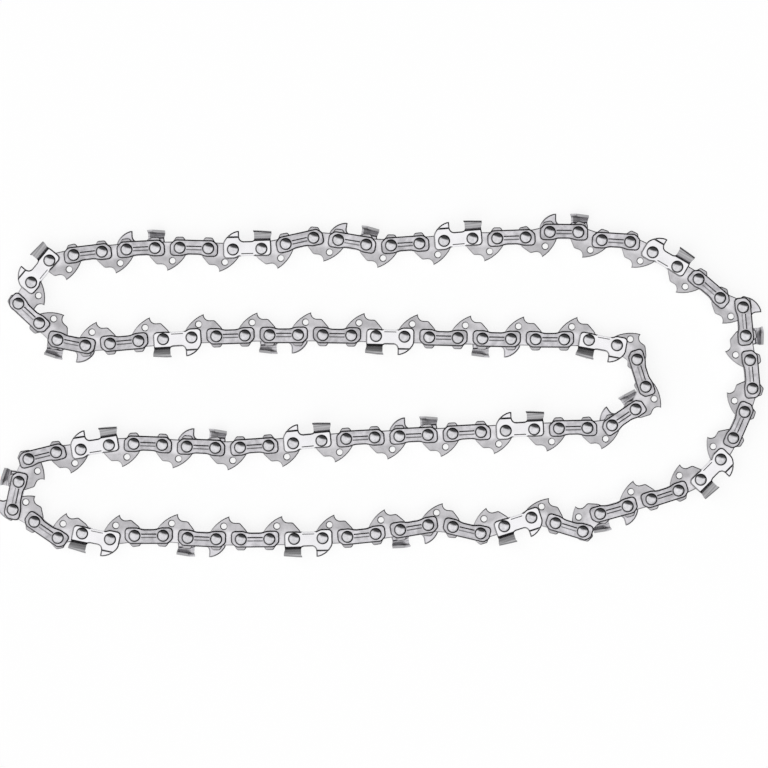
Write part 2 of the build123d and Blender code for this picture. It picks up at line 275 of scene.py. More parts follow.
class CutterSizes(bpy.types.PropertyGroup):
    """Sizes of a cutter."""

    shoulder: length("Shoulder", "Upper end of the upright ends", 2.2)
    lead_foot: length("Leading foot", "Foot under the depth gauge", 3.2)
    tail_foot: length("Trailing foot", "Foot under the tooth", 2.6)
    waist: length("Waist", "Lower edge between the feet", 2.4)
    waist_reach: length("Waist reach", "Half the length of the waist", 2.75)
    waist_rim: length("Waist chamfer", "Fine chamfer of the waist's edge", 0.16)
    gullet: length("Gullet", "Floor between gauge and tooth, over the rivet line", 2.8)
    gullet_corner: length("Gullet corner", "Hollow corner at the depth gauge", 0.9)
    gauge_height: length("Depth gauge height", "Over the rivet line", 6.48)
    gauge_back: length("Depth gauge back", "Steep back, behind the leading rivet", 2.3)
    gauge_root: length("Depth gauge root", "Where the back turns into the gullet", 3.8)
    gauge_crest: length("Depth gauge crest", "Front end of the crest, behind the leading rivet", 1.5)
    gauge_bulge: length("Depth gauge bulge", "Bow of the nose", 0.8)
    step_low: length("Step foot", "Where the gauge's face steps back", 4.05)
    step_high: length("Step head", "Where the step ends", 4.65)
    step_depth: length("Step depth", "How far the gauge's face steps back", 0.45)
    bead_reach: length("Waist bead reach", "Half the length of the bead between the rivets", 2.1)
    bead_top: length("Waist bead top", "Bead below the rivet line", 1.4)
    bead_foot: length("Waist bead foot", "Lower end of the bead", 2.18)
    bead_slope: length("Waist bead slope", "Width of the bead's upper slope", 0.32)
    bead_lip: length("Waist bead lip", "Width of the bead's lower slope", 0.08)
    bead_height: length("Waist bead height", "Bead over the cutter's face", 0.23)
    tooth_base: length("Tooth base", "Where the side plate leaves the flat", 3.2)
    tooth_jog: length("Tooth jog", "Height of the bend that sets the side plate out", 0.5)
    tooth_lean: length("Tooth lean", "How far the side plate leans out above the bend", 0.4)
    tooth_rake: length("Tooth rake", "Tail of the top plate behind its base", 0.4)
    tooth_lead: length("Tooth lead", "Base of the cutting edge, ahead of the trailing rivet", 2.5)
    tooth_tail: length("Tooth tail", "End of the tooth, past the rivet", 3.3)
    tooth_height: length("Tooth height", "Top plate over the rivet line", 6.57)
    tooth_drop: length("Tooth drop", "How much lower the tail of the top plate is", 0.55)
    tooth_hook: length("Tooth hook", "Cutting corner ahead of its base", 0.5)
    top_thickness: length("Top plate thickness", "Blade folded over the chain", 0.95)
    top_reach: length("Top plate reach", "Past the chain's middle plane", 0.5)
    side_out: length("Side plate", "Outermost face, from the middle plane", 3.3)
    fold: length("Fold", "Rounding between side plate and top plate", 0.72)
    grind: length("Grind", "Ground bevel under the cutting edge", 0.6)
    top_angle: FloatProperty(
        name="Top plate angle", description="Of the cutting edge, seen from above",
        default=math.radians(30.0), subtype="ANGLE", unit="ROTATION",
    )


class RivetSizes(bpy.types.PropertyGroup):
    """Sizes of a rivet."""

    radius: length("Radius", "Shank and foot of the head", 2.1)
    head: length("Head", "Height of the dome over the plate", 0.72)


class Finishes(bpy.types.PropertyGroup):
    """Colours of the metals."""

    chrome: colour("Hard chrome", "Satin plating of the cutters", "#FAF9FC")
    ground: colour("Ground steel", "Bare inside of the cutters", "#EFEDF2")
    strap: colour("Tie strap steel", "Tumbled and oiled", "#EDEBF0")
    drive_link: colour("Drive link steel", "Stamped and tumbled", "#F6F4F8")
    rivet: colour("Rivet steel", "Spun bright", "#F2F1F5")


class StudioSettings(bpy.types.PropertyGroup):
    """Floor, light and camera."""

    floor: colour("Floor", "Plain pale floor", "#FAFAFA")
    shade: colour("Dark side", "Unlit end and skirting of the studio", "#0C0C0E")
    camera_height: length("Camera height", "Over the floor", 1500.0)


class ChainSettings(bpy.types.PropertyGroup):
    """All that a user can change on the chain and its stage."""

    plate: PointerProperty(type=PlateSizes)
    drive_link: PointerProperty(type=DriveLinkSizes)
    tie_strap: PointerProperty(type=TieStrapSizes)
    cutter: PointerProperty(type=CutterSizes)
    rivet: PointerProperty(type=RivetSizes)
    finishes: PointerProperty(type=Finishes)
    studio: PointerProperty(type=StudioSettings)


def loose_shells(node):
    """Middle point of each separate solid of a CAD node, by its corners."""
    bm = bmesh.new()
    bm.from_mesh(frame["nodes"][node].data)
    bmesh.ops.remove_doubles(bm, verts=bm.verts, dist=MERGE_DISTANCE)
    middles = []
    for start in bm.verts:
        if start.tag:
            continue
        start.tag = True
        shell = [start]
        for vert in shell:
            for edge in vert.link_edges:
                other = edge.other_vert(vert)
                if not other.tag:
                    other.tag = True
                    shell.append(other)
        middles.append(sum((vert.co for vert in shell), Vector()) / len(shell))
    bm.free()
    return middles


def nodes_of(kind):
    """The CAD nodes that hold one kind of piece."""
    return [name for name in sorted(frame["nodes"]) if name.endswith(kind)]


class Lay:
    """Where the links lie, read from the CAD nodes."""

    def __init__(self):
        self.rivets = [middle for node in nodes_of("_rivets") for middle in loose_shells(node)]
        low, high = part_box(nodes_of("_drive_links")[0])
        self.middle_z = (low.z + high.z) / 2
        self.gauge = (high.z - low.z) / MM
        self.drive_ends = {}
        self.drive_tails = set()
        for node in nodes_of("_drive_links"):
            self.drive_ends[node] = [self.drive_link_ends(middle) for middle in loose_shells(node)]
            self.drive_tails.update(ends[1] for ends in self.drive_ends[node])
        first = self.drive_ends[nodes_of("_drive_links")[0]][0]
        self.drive_half = self.span(first) / 2 / MM
        strap = loose_shells(nodes_of("_tie_straps")[0])[0]
        self.side_half = self.span(self.nearest(strap)) / 2 / MM

    def nearest(self, point):
        """The two rivets that a link turns on."""
        order = sorted(range(len(self.rivets)), key=lambda i: (self.rivets[i].xy - point.xy).length)
        return order[0], order[1]

    def span(self, ends):
        """Distance from rivet to rivet."""
        return (self.rivets[ends[0]].xy - self.rivets[ends[1]].xy).length

    def drive_link_ends(self, middle):
        """Leading and trailing rivet of a drive link, told by the side its tang is on."""
        lead, tail = self.nearest(middle)
        along = self.rivets[tail] - self.rivets[lead]
        tang = middle - self.rivets[lead]
        if along.xy.to_3d().cross(tang.xy.to_3d()).z > 0:
            return tail, lead
        return lead, tail

    def plate_ends(self, middle):
        """Leading and trailing rivet of a plate: a drive link ends where the plate begins."""
        ends = self.nearest(middle)
        return ends if ends[0] in self.drive_tails else (ends[1], ends[0])

    def place(self, ends):
        """Matrix from a link's own millimetres to the chain's frame."""
        lead, tail = (self.rivets[i].xy.to_3d() for i in ends)
        along = (tail - lead).normalized()
        turn = Matrix((along, UP.cross(along), UP)).transposed().to_4x4()
        middle = (lead + tail) / 2 + UP * self.middle_z
        return Matrix.Translation(middle) @ turn @ Matrix.Scale(MM, 4)

    def drive_links(self, node):
        """Place of each drive link."""
        return [self.place(ends) for ends in self.drive_ends[node]]

    def plates(self, node):
        """Place of each plate, and whether it is on the far side."""
        middles = loose_shells(node)
        return [(self.place(self.plate_ends(middle)), middle.z < self.middle_z) for middle in middles]

    def rivet_places(self, node):
        """Place of each rivet."""
        size = Matrix.Scale(MM, 4)
        lift = UP * self.middle_z
        return [Matrix.Translation(middle.xy.to_3d() + lift) @ size for middle in loose_shells(node)]


def bow(start, end, bulge, steps):
    """Points between start and end on an arc that stands bulge to the right of the straight line."""
    start, end = Vector(start), Vector(end)
    along = end - start
    half = along.length / 2
    radius = (half * half + bulge * bulge) / (2 * bulge)
    right = Vector((along.y, -along.x)).normalized()
    centre = (start + end) / 2 + right * (bulge - radius)
    turn = 2 * math.asin(half / radius) / steps
    arm = start - centre
    return [tuple(centre + Matrix.Rotation(turn * step, 2) @ arm) for step in range(1, steps)]


def closed_loop(bm, points):
    """Corners of a closed loop of edges through points in the plane."""
    verts = [bm.verts.new((x, y, 0.0)) for x, y in points]
    for here, there in zip(verts, verts[1:] + verts[:1]):
        bm.edges.new((here, there))
    return verts


def rounded_loop(bm, points, corner, kept):
    """Closed loop of edges through the points, with its corners rounded but for the kept ones."""
    verts = closed_loop(bm, points)
    corners = [vert for vert, point in zip(verts, points) if point not in kept]
    bmesh.ops.bevel(
        bm, geom=corners, offset=corner, offset_type="OFFSET", segments=CORNER_STEPS, profile=0.5,
        affect="VERTICES", clamp_overlap=True, material=-1,
    )
    bmesh.ops.remove_doubles(bm, verts=bm.verts, dist=CORNER_NEAR)


def in_hole(edge, holes):
    """Whether an edge lies on the wall of one of the holes."""
    middle = (edge.verts[0].co.xy + edge.verts[1].co.xy) / 2
    return any((middle - Vector((x, y))).length < radius + NEAR for x, y, radius in holes)


def stamped_plate(points, holes, low, high, corner, kept=(), panel=None):
    """Flat stamping between two heights: rounded outline, round holes and a panel to press."""
    bm = bmesh.new()
    bm.faces.layers.float.new(EDGE)
    rounded_loop(bm, points, corner, kept)
    for x, y, radius in holes:
        bmesh.ops.create_circle(
            bm, cap_ends=False, radius=radius, segments=HOLE_SIDES, matrix=Matrix.Translation((x, y, 0.0))
        )
    if panel:
        left, foot, right, head = panel
        corners = closed_loop(bm, [(left, foot), (right, foot), (right, head), (left, head)])
    bmesh.ops.triangle_fill(bm, use_beauty=True, use_dissolve=False, edges=bm.edges[:], normal=UP)
    if panel:
        bm.faces.new(corners)
    bmesh.ops.translate(bm, verts=bm.verts, vec=UP * low)
    grown = bmesh.ops.extrude_face_region(bm, geom=bm.faces[:])["geom"]
    bmesh.ops.translate(
        bm, verts=[item for item in grown if isinstance(item, bmesh.types.BMVert)], vec=UP * (high - low)
    )
    bmesh.ops.recalc_face_normals(bm, faces=bm.faces)
    return bm


def press_panel(bm, panel, height, slopes, depth, edge_shades):
    """Raise a stamping's panel. Slopes and the painted shade on them are those at its foot and its head; its
    ends are upright.
    """
    left, foot, right, head = panel
    middle = Vector(((left + right) / 2, (foot + head) / 2, height))
    face = min(bm.faces, key=lambda face: (face.calc_center_median() - middle).length)
    sides = bmesh.ops.inset_individual(bm, faces=[face], thickness=min(slopes), depth=0.0)["faces"]
    for vert in face.verts:
        vert.co.x = left if vert.co.x < middle.x else right
        vert.co.y = foot + slopes[0] if vert.co.y < middle.y else head - slopes[1]
        vert.co.z += depth
    bm.normal_update()
    edge_shade = bm.faces.layers.float[EDGE]
    # Painted shade on the panel's slopes
    for side in sides:
        if abs(side.normal.x) < SQUARE:
            side[edge_shade] = edge_shades[0] if side.normal.y < 0 else edge_shades[1]


def chamfer_rims(bm, holes, width, depth, both_sides, is_plain=lambda middle: False):
    """Chamfer the edges between a stamping's faces and its walls, but for its holes and plain edges."""
    rims = []
    levels = set()
    for edge in bm.edges:
        middle = (edge.verts[0].co + edge.verts[1].co) / 2
        if len(edge.link_faces) != 2 or in_hole(edge, holes) or is_plain(middle):
            continue
        wall, face = sorted(edge.link_faces, key=lambda side: abs(side.normal.z))
        is_rim = abs(wall.normal.z) <= SQUARE and abs(face.normal.z) >= FLAT
        if not is_rim or (face.normal.z < 0 and not both_sides):
            continue
        rims.append(edge)
        levels.update((vert.co.z, math.copysign(1.0, face.normal.z)) for vert in edge.verts)
    chamfers = bmesh.ops.bevel(
        bm, geom=rims, offset=width, offset_type="OFFSET", segments=1, profile=0.5,
        affect="EDGES", clamp_overlap=False, loop_slide=False, material=-1,
    )["faces"]
    # Painted shade on each chamfer
    edge_shade = bm.faces.layers.float[EDGE]
    for face in chamfers:
        face[edge_shade] = 1.0
    # The bevel is as deep as it is wide, so its ends on the walls move to the chamfer's depth
    for vert in bm.verts:
        for level, side in levels:
            if abs(vert.co.z - level + side * width) < NEAR:
                vert.co.z = level - side * depth
                break


def refill_flats(bm, levels):
    """Fill a stamping's flat faces anew, inside their chamfers and round their panels."""
    edge_shade = bm.faces.layers.float[EDGE]
    for level in levels:
        flats = {
            face for face in bm.faces
            if face[edge_shade] == 0.0 and all(abs(vert.co.z - level) < NEAR for vert in face.verts)
        }
        rims = [edge for edge in bm.edges if sum(face in flats for face in edge.link_faces) == 1]
        bmesh.ops.delete(bm, geom=[face for face in bm.faces if face in flats], context="FACES")
        bmesh.ops.triangle_fill(bm, use_beauty=True, use_dissolve=False, edges=rims, normal=UP)
    bmesh.ops.recalc_face_normals(bm, faces=bm.faces)


def drive_link_shape(lay, settings):
    """Drive link: crowns over its rivets, and a tang with a hook and an oil hole."""
    s = in_mm(settings.drive_link)
    radius = in_mm(settings.rivet).radius + s.hole_play
    half = lay.drive_half
    end = half + s.end_reach
    crown_near = half - s.crown_width / 2
    crown_far = half + s.crown_width / 2
    saddle = half - s.saddle_inset
    tip = (-s.tip_lead, -s.tang_depth)
    heel = (half + s.heel_reach, -s.heel_drop)
    hook_end = (-s.hook_end, -s.hook_floor)
    scoop = bow(hook_end, tip, -s.hook_bow, ARC_STEPS)
    back = bow(tip, heel, s.back_bulge, ARC_STEPS)
    points = [
        heel,
        (end, -s.end_foot),
        (end, s.end_flat),
        (crown_far, s.crown_height),
        (crown_near, s.crown_height),
        (saddle, s.saddle_height),
        (-saddle, s.saddle_height),
        (-crown_near, s.crown_height),
        (-crown_far, s.crown_height),
        (-end, s.end_flat),
        (-end, -s.end_foot),
        (-half - s.toe_reach, -s.toe_drop),
        (-s.hook_start, -s.hook_floor),
        hook_end,
        *scoop,
        tip,
        *back,
    ]
    holes = [
        (-half, 0.0, radius),
        (half, 0.0, radius),
        (s.oil_hole_trail, -s.oil_hole_drop, s.oil_hole_radius),
    ]
    bm = stamped_plate(points, holes, -lay.gauge / 2, lay.gauge / 2, s.corner, [tip, *scoop, *back])
    chamfer_rims(bm, holes[:2], s.rim_width, s.rim_depth, both_sides=True)
    refill_flats(bm, (-lay.gauge / 2, lay.gauge / 2))
    return bm


def plate_levels(lay, settings):
    """Inner and outer face of a near plate over the middle plane."""
    plate = in_mm(settings.plate)
    inner = lay.gauge / 2 + plate.side_play
    return inner, inner + plate.thickness


def rivet_seats(lay, settings):
    """The two rivet holes of a plate."""
    radius = in_mm(settings.rivet).radius + in_mm(settings.plate).seat_play
    return [(-lay.side_half, 0.0, radius), (lay.side_half, 0.0, radius)]


def tie_strap_shape(lay, settings):
    """Near tie strap: straight top, waisted foot and a pressed rib between the rivets."""
    s = in_mm(settings.tie_strap)
    p = in_mm(settings.plate)
    inner, outer = plate_levels(lay, settings)
    half = lay.side_half
    end = half + p.end_reach
    right = [
        (half - p.waist_inset, -s.waist),
        (half - p.foot_inset, -s.foot),
        (end - p.foot_chamfer, -s.foot),
        (end, -s.foot + p.foot_chamfer),
        (end, s.shoulder),
        (half + s.top_end, s.top),
    ]
    points = right + [(-x, y) for x, y in reversed(right)]
    holes = rivet_seats(lay, settings)
    rib_end = half - in_mm(settings.rivet).radius - s.rib_play
    rib = (-rib_end, -s.rib_width / 2, rib_end, s.rib_width / 2)
    bm = stamped_plate(points, holes, inner, outer, p.corner, panel=rib)
    chamfer_rims(bm, holes, p.rim_width, p.rim_depth, both_sides=False)
    press_panel(bm, rib, outer, (s.rib_slope, s.rib_slope), s.rib_height, RIB_SHADE)
    refill_flats(bm, (inner, outer))
    return bm


def extrude_to(bm, face, place):
    """Extrude one face and set each of its corners where place puts it."""
    grown = bmesh.ops.extrude_discrete_faces(bm, faces=[face])["faces"][0]
    for vert in grown.verts:
        vert.co = place(vert.co)
    return grown


def facing(bm, direction, near):
    """The face that points most along a direction among those close to a point."""
    close = [face for face in bm.faces if face.normal.dot(direction) > FACING]
    return min(close, key=lambda face: (face.calc_center_median() - near).length)


def raise_tooth(bm, s, half, inner, outer):
    """Side plate set out by a bend from the cutter's flat, and top plate folded over the chain."""
    back = half + s.tooth_tail
    front = half - s.tooth_lead - s.tooth_hook
    jog = s.tooth_base + s.tooth_jog
    under = s.tooth_height - s.top_thickness
    edge_slope = math.tan(s.top_angle)
    bend = s.side_out - s.tooth_lean - outer

    def on_edge(z):
        """Where the cutting edge lies at a height over the middle plane."""
        return front + edge_slope * (s.side_out - z)

    def bend_top(co):
        """Upper end of the bend."""
        z = co.z + bend
        return Vector((back if co.x > half else on_edge(z + s.tooth_lean) + s.grind, jog, z))

    def side_plate_top(co):
        """Upper end of the side plate."""
        z = co.z + s.tooth_lean
        if co.x > half:
            return Vector((back + s.tooth_rake, under - s.tooth_drop, z))
        return Vector((on_edge(z) + s.grind, under, z))

    def corner_top(co):
        """Top of the corner between side plate and top plate."""
        if co.x > half:
            return Vector((back + s.tooth_rake, s.tooth_height - s.tooth_drop, co.z))
        return Vector((on_edge(co.z), s.tooth_height, co.z))

    def blade_end(co):
        """Free end of the top plate."""
        z = -s.top_reach
        if co.x > half + s.tooth_tail / 2:
            return Vector((co.x, co.y, z))
        ground = s.grind if co.y < (under + s.tooth_height) / 2 else 0.0
        return Vector((on_edge(z) + ground, co.y, z))

    face = facing(bm, Vector((0, 1, 0)), Vector(((front + back) / 2, s.tooth_base, (inner + outer) / 2)))
    for place in (bend_top, side_plate_top, corner_top):
        face = extrude_to(bm, face, place)
        bm.normal_update()
    inside = inner + s.side_out - outer
    inward = facing(bm, -UP, Vector(((front + back) / 2, under + s.top_thickness / 2, inside)))
    extrude_to(bm, inward, blade_end)
    bm.normal_update()
    fold = max(face.edges, key=lambda edge: min(vert.co.z for vert in edge.verts))
    bmesh.ops.bevel(
        bm, geom=[fold], offset=s.fold, offset_type="OFFSET", segments=FOLD_STEPS, profile=0.5,
        affect="EDGES", clamp_overlap=True, material=-1,
    )


def bare_inside(bm, s):
    """Give the inside of a cutter and the ground front of its tooth the second finish."""
    bm.normal_update()
    for face in bm.faces:
        middle = face.calc_center_median()
        on_tooth = middle.x > 0 and middle.y > s.tooth_base + NEAR
        blade_end = middle.z < NEAR - s.top_reach
        under_top = on_tooth and face.normal.y < -LEANING and middle.z < s.side_out - s.top_thickness
        ground_front = on_tooth and face.normal.x < -LEANING
        if not blade_end and (face.normal.z < -INWARD or under_top or ground_front):
            face.material_index = 1


def narrow_waist(bm, s, p):
    """Make the chamfer of a cutter's waist finer than the others, with less painted shade on it."""
    edge_shade = bm.faces.layers.float[EDGE]
    for face in bm.faces:
        middle = face.calc_center_median()
        on_waist = abs(middle.x) < s.waist_reach / 2 and -s.waist < middle.y < p.rim_width - s.waist
        if face[edge_shade] == 1.0 and on_waist:
            face[edge_shade] = WAIST_SHADE
    for vert in bm.verts:
        if abs(vert.co.x) < s.waist_reach and abs(vert.co.y + s.waist - p.rim_width) < NEAR:
            vert.co.y = s.waist_rim - s.waist


def step_gauge(bm, s, rim):
    """Set the depth gauge's face and its chamfer back above a small step."""
    for height in (s.step_low, s.step_high):
        geometry = bm.verts[:] + bm.edges[:] + bm.faces[:]
        bmesh.ops.bisect_plane(bm, geom=geometry, plane_co=(0, height, 0), plane_no=(0, 1, 0), dist=CUT_NEAR)
    for vert in bm.verts:
        if vert.co.y > s.step_high - NEAR and vert.co.x < 0 and vert.co.z > rim - NEAR:
            vert.co.z -= s.step_depth


def left_cutter_shape(lay, settings):
    """Near cutter: depth gauge, gullet, side plate and top plate in one piece."""
    s = in_mm(settings.cutter)
    s.top_angle = settings.cutter.top_angle
    p = in_mm(settings.plate)
    inner, outer = plate_levels(lay, settings)
    half = lay.side_half
    lead_end, tail_end = -half - p.end_reach, half + p.end_reach
    crest = (-half + s.gauge_crest, s.gauge_height)
    heel = (-half + s.gauge_back, s.gauge_height)
    nose = (lead_end, s.shoulder)
    root = (-half + s.gauge_back, s.gauge_root)
    tooth_front = (half - s.tooth_lead, s.tooth_base)
    tooth_back = (half + s.tooth_tail, s.tooth_base)
    gullet = [
        (tooth_front[0] - s.tooth_base + s.gullet, s.gullet),
        (root[0] + s.gullet_corner, s.gullet),
    ]
    brow = bow(crest, nose, s.gauge_bulge, ARC_STEPS)
    points = [
        nose,
        (lead_end, -s.lead_foot + p.foot_chamfer),
        (lead_end + p.foot_chamfer, -s.lead_foot),
        (-half + p.foot_inset, -s.lead_foot),
        (-s.waist_reach, -s.waist),
        (s.waist_reach, -s.waist),
        (half - p.foot_inset, -s.tail_foot),
        (tail_end - p.foot_chamfer, -s.tail_foot),
        (tail_end, -s.tail_foot + p.foot_chamfer),
        (tail_end, s.shoulder),
        tooth_back,
        tooth_front,
        *gullet,
        root,
        heel,
        crest,
        *brow,
    ]
    holes = rivet_seats(lay, settings)
    kept = [tooth_front, tooth_back, heel, crest, *brow]
    bead = (-s.bead_reach, -s.bead_foot, s.bead_reach, -s.bead_top)
    bm = stamped_plate(points, holes, inner, outer, p.corner, kept, panel=bead)
    raise_tooth(bm, s, half, inner, outer)

    def on_tooth(middle):
        """Edges that stay as cut."""
        return middle.x > 0 and middle.y > s.tooth_base - NEAR

    chamfer_rims(bm, holes, p.rim_width, p.rim_depth, both_sides=True, is_plain=on_tooth)
    narrow_waist(bm, s, p)
    press_panel(bm, bead, outer, (s.bead_lip, s.bead_slope), s.bead_height, BEAD_SHADE)
    refill_flats(bm, (inner, outer))
    step_gauge(bm, s, outer - p.rim_depth)
    bare_inside(bm, s)
    return bm


def rivet_shape(lay, settings):
    """Rivet with a spun dome on each plate."""
    s = in_mm(settings.rivet)
    outer = plate_levels(lay, settings)[1]
    dome = [(s.radius * share, outer + s.head * (1.0 - share ** DOME_POWER)) for share in DOME_RINGS]
    half = [*dome, (0.0, outer + s.head)]
    profile = [(x, -z) for x, z in reversed(half)] + half
    bm = bmesh.new()
    bm.faces.layers.float.new(EDGE)
    verts = [bm.verts.new((x, 0.0, z)) for x, z in profile]
    edges = [bm.edges.new(pair) for pair in zip(verts, verts[1:])]
    bmesh.ops.spin(
        bm, geom=verts + edges, cent=(0, 0, 0), axis=UP, dvec=(0, 0, 0), angle=math.tau,
        steps=DOME_SIDES, use_merge=True, use_normal_flip=False, use_duplicate=False,
    )
    bmesh.ops.remove_doubles(bm, verts=bm.verts, dist=NEAR)
    bmesh.ops.recalc_face_normals(bm, faces=bm.faces)
    # Painted shade on the dome's outer rings
    edge_shade = bm.faces.layers.float[EDGE]
    for face in bm.faces:
        if face.calc_center_median().xy.length > s.radius * DOME_FOOT:
            face[edge_shade] = 1.0
    return bm


def far_side(bm):
    """The same shape on the other side of the middle plane."""
    flipped = bm.copy()
    bmesh.ops.scale(flipped, vec=(1, 1, -1), verts=flipped.verts)
    bmesh.ops.reverse_faces(flipped, faces=flipped.faces)
    return flipped


def new_mesh(name, bm):
    """The shape as a mesh."""
    mesh = bpy.data.meshes.new(name)
    bm.to_mesh(mesh)
    bm.free()
    return mesh


def shape_mesh(name, bm):
    """A shape as a mesh, with its link map: where each corner is on the link."""
    uv = bm.loops.layers.uv.new(LINK_MAP)
    for face in bm.faces:
        face.smooth = True
        for loop in face.loops:
            loop[uv].uv = loop.vert.co.xy * UV_PER_MM
    edge_shade = bm.faces.layers.float[EDGE]
    # Edges between faces with different painted shade stay sharp
    for edge in bm.edges:
        same_edge_shade = len({face[edge_shade] for face in edge.link_faces}) == 1
        edge.smooth = same_edge_shade and edge.calc_face_angle(0.0) < SHARP_ANGLE
    return new_mesh(name, bm)


def new_object(name, bm):
    """An object at the origin, with the shape as its mesh."""
    thing = bpy.data.objects.new(name, new_mesh(name, bm))
    bpy.context.scene.collection.objects.link(thing)
    return thing


def lay_copies(node, copies, materials, has_flats=True):
    """One piece for a CAD node: a copy of a shape at each place, each a little lighter or darker."""
    draw = random.Random(node)
    bm = bmesh.new()
    for name in (TONE, EDGE):
        bm.faces.layers.float.new(name)
    tone = bm.faces.layers.float[TONE]
    for mesh, place in copies:
        verts_before, faces_before = len(bm.verts), len(bm.faces)
        bm.from_mesh(mesh)
        bm.verts.ensure_lookup_table()
        bm.faces.ensure_lookup_table()
        bmesh.ops.transform(bm, matrix=place, verts=bm.verts[verts_before:])
        shade = draw.uniform(*TONE_RANGE)
        for face in bm.faces[faces_before:]:
            face[tone] = shade
    piece = new_object(f"{node}_dressed", bm)
    for material in materials:
        piece.data.materials.append(material)
    if has_flats:
        weighted = piece.modifiers.new("flat_faces", "WEIGHTED_NORMAL")
        weighted.weight = FLAT_WEIGHT
        weighted.keep_sharp = True
    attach(piece, frame["nodes"][node]["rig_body"])
    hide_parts(node)


def add_node(tree, kind, inputs=None, **settings):
    """Add a shader node with its settings, values and links. Gives its outputs."""
    node = tree.nodes.new(f"ShaderNode{kind}")
    for name, value in settings.items():
        setattr(node, name, value)
    for key, value in (inputs or {}).items():
        if isinstance(value, bpy.types.NodeSocket):
            tree.links.new(value, node.inputs[key])
        else:
            node.inputs[key].default_value = value
    return node.outputs


def new_material(name):
    """Empty node material, and its tree."""
    material = bpy.data.materials.new(name)
    material.use_nodes = True
    material.node_tree.nodes.clear()
    return material, material.node_tree


def per_metre(millimetres):
    """Texture scale whose features are that many millimetres wide."""
    return 1.0 / (millimetres * MM)


def link_spot(tree):
    """Place on the link in millimetres: as a vector, and its x, its x without sign and its y."""
    spot = add_node(tree, "UVMap", uv_map=LINK_MAP)["UV"]
    place = add_node(tree, "VectorMath", {0: spot, "Scale": 1.0 / UV_PER_MM}, operation="SCALE")["Vector"]
    axes = add_node(tree, "SeparateXYZ", {"Vector": place})
    reach = add_node(tree, "Math", {0: axes["X"]}, operation="ABSOLUTE")[0]
    return SimpleNamespace(place=place, x=axes["X"], reach=reach, y=axes["Y"])


def off_band(tree, value, start, end, fade):
    """0 inside a band and 1 outside it, with soft edges."""
    before = add_node(
        tree, "MapRange",
        {"Value": value, "From Min": start - fade, "From Max": start, "To Min": 1.0, "To Max": 0.0},
    )["Result"]
    after = add_node(tree, "MapRange", {"Value": value, "From Min": end, "From Max": end + fade})["Result"]
    return add_node(tree, "Math", {0: before, 1: after}, operation="MAXIMUM")[0]


def patch(tree, across, along, tone, fade=PATCH_FADE):
    """Shade of a patch of the link, and 1 outside it. Each band is a socket, its start and its end."""
    bands = {0: off_band(tree, *across, fade), 1: off_band(tree, *along, fade)}
    outside = add_node(tree, "Math", bands, operation="MAXIMUM")[0]
    return add_node(tree, "MapRange", {"Value": outside, "To Min": tone, "To Max": 1.0})["Result"]


def rivet_shadow_rings(tree, spot, half, seat):
    """Tone of the painted shadow round each rivet's seat, and 1 elsewhere."""
    across = add_node(tree, "Math", {0: spot.reach, 1: half}, operation="SUBTRACT")[0]
    arm = add_node(tree, "CombineXYZ", {"X": across, "Y": spot.y})["Vector"]
    radius = add_node(tree, "VectorMath", {0: arm}, operation="LENGTH")["Value"]
    outside = off_band(tree, radius, seat - RING_INSIDE, seat + RING_OUTSIDE, RING_FADE)
    return add_node(tree, "MapRange", {"Value": outside, "To Min": RING_TONE, "To Max": 1.0})["Result"]


def drawn_lines(tree, spot, base, line_mm, darkest, lightest):
    """Lines along the tooth, above its base, that rolling and grinding leave."""
    # Real lines are finer than a pixel, so these are as wide as they need to be to show
    on_gauge = add_node(tree, "Math", {0: spot.x, 1: 0.0}, operation="LESS_THAN")[0]
    stretched = add_node(
        tree, "VectorMath", {0: spot.place, 1: LINE_STRETCH}, operation="MULTIPLY"
    )["Vector"]
    lines = add_node(tree, "TexNoise", {"Vector": stretched, "Scale": 1.0 / line_mm, "Detail": 3.0})["Fac"]
    tone = add_node(
        tree, "MapRange",
        {"Value": lines, "From Min": LINE_RANGE[0], "From Max": LINE_RANGE[1],
         "To Min": darkest, "To Max": lightest},
    )["Result"]
    on_tooth = add_node(
        tree, "MapRange",
        {"Value": spot.y, "From Min": base, "From Max": base + LINE_FADE, "To Min": 1.0, "To Max": tone},
    )["Result"]
    return add_node(tree, "Math", {0: on_gauge, 1: on_tooth}, operation="MAXIMUM")[0]


